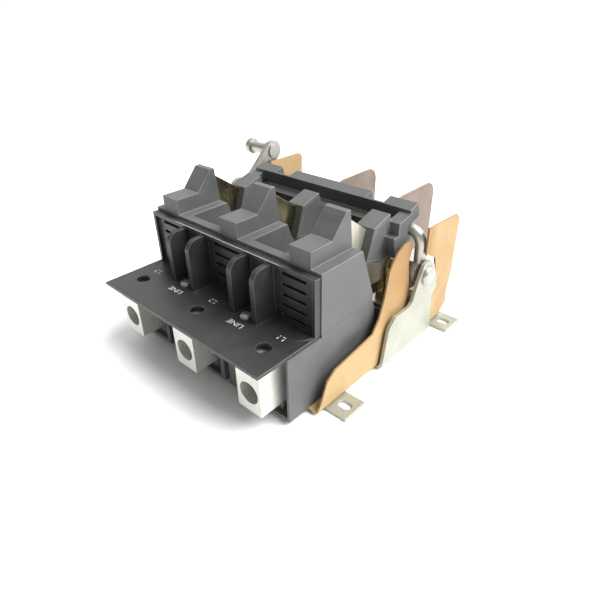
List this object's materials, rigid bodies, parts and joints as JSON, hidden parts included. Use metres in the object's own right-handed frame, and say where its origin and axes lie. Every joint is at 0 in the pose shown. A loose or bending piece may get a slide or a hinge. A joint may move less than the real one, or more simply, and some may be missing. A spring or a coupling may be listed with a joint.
{
  "type": "knife blade switch",
  "caption": "Open knife blade disconnect switch on a steel pan, with arc hoods, box lugs, a tilting crossbar and a side lever.",
  "frame": {"origin": "centre of the four foot slots, on the mounting plane under the pan", "axes": "+X towards pole 1 along the row of poles, +Y from the line end to the load end, +Z away from the mounting plane"},
  "size_m": [0.175, 0.212, 0.0968],
  "materials": {
    "zinc_steel": "zinc plated, pale yellow-green tint",
    "fibre_tan": "tan vulcanised fibre, matte",
    "fibre_brown": "grey-brown fibre, matte, paler edges",
    "grey_moulding": "grey thermoset moulding, satin",
    "dark_guard": "charcoal moulding, fine texture, satin",
    "bright_steel": "bright plated steel",
    "dark_screw": "dark steel",
    "tinned_lug": "tin plated aluminium, satin",
    "copper": "tarnished copper alloy, bright edges",
    "arc_steel": "plain steel"
  },
  "bodies": {
    "base": {"base_pan": "zinc_steel", "fibre_liner_right": "fibre_tan", "fibre_liner_left": "fibre_tan", "phase_barrier_right": "fibre_brown", "phase_barrier_left": "fibre_brown", "base_screws": "dark_screw", "chamber_screws": "dark_screw", "line_base": "grey_moulding", "arc_chamber": "grey_moulding", "load_base": "grey_moulding", "line_guard": "dark_guard", "guard_screws": "bright_steel", "pivot_rivets": "bright_steel", "hinge_pins": "bright_steel", "line_lug_1": "tinned_lug", "load_lug_1": "tinned_lug", "line_strap_1": "copper", "line_jaw_1": "copper", "load_strap_1": "copper", "hinge_clip_1": "copper", "arc_plates_1": "arc_steel", "line_lug_2": "tinned_lug", "load_lug_2": "tinned_lug", "line_strap_2": "copper", "line_jaw_2": "copper", "load_strap_2": "copper", "hinge_clip_2": "copper", "arc_plates_2": "arc_steel", "line_lug_3": "tinned_lug", "load_lug_3": "tinned_lug", "line_strap_3": "copper", "line_jaw_3": "copper", "load_strap_3": "copper", "hinge_clip_3": "copper", "arc_plates_3": "arc_steel"},
    "switch_arm": {"crossbar": "grey_moulding", "blade_1": "copper", "blade_2": "copper", "blade_3": "copper", "blade_rivets": "bright_steel", "bail_rod": "bright_steel", "operating_lever": "bright_steel", "lever_stud": "bright_steel"},
    "line_screw_1": {"line_set_screw_1": "dark_screw"},
    "line_screw_2": {"line_set_screw_2": "dark_screw"},
    "line_screw_3": {"line_set_screw_3": "dark_screw"},
    "load_screw_1": {"load_set_screw_1": "dark_screw"},
    "load_screw_2": {"load_set_screw_2": "dark_screw"},
    "load_screw_3": {"load_set_screw_3": "dark_screw"}
  },
  "joints": [
    {"name": "switch_hinge", "type": "hinge", "parent": "base", "child": "switch_arm", "pos_m": [0, 0.025, 0.0455], "axis": [-1, 0, 0], "range_deg": [0, 55]},
    {"name": "line_screw_1_travel", "type": "slide", "parent": "base", "child": "line_screw_1", "axis": [0, 0, -1], "range_m": [0, 0.008]},
    {"name": "line_screw_2_travel", "type": "slide", "parent": "base", "child": "line_screw_2", "axis": [0, 0, -1], "range_m": [0, 0.008]},
    {"name": "line_screw_3_travel", "type": "slide", "parent": "base", "child": "line_screw_3", "axis": [0, 0, -1], "range_m": [0, 0.008]},
    {"name": "load_screw_1_travel", "type": "slide", "parent": "base", "child": "load_screw_1", "axis": [0, 0, -1], "range_m": [0, 0.008]},
    {"name": "load_screw_2_travel", "type": "slide", "parent": "base", "child": "load_screw_2", "axis": [0, 0, -1], "range_m": [0, 0.008]},
    {"name": "load_screw_3_travel", "type": "slide", "parent": "base", "child": "load_screw_3", "axis": [0, 0, -1], "range_m": [0, 0.008]}
  ]
}
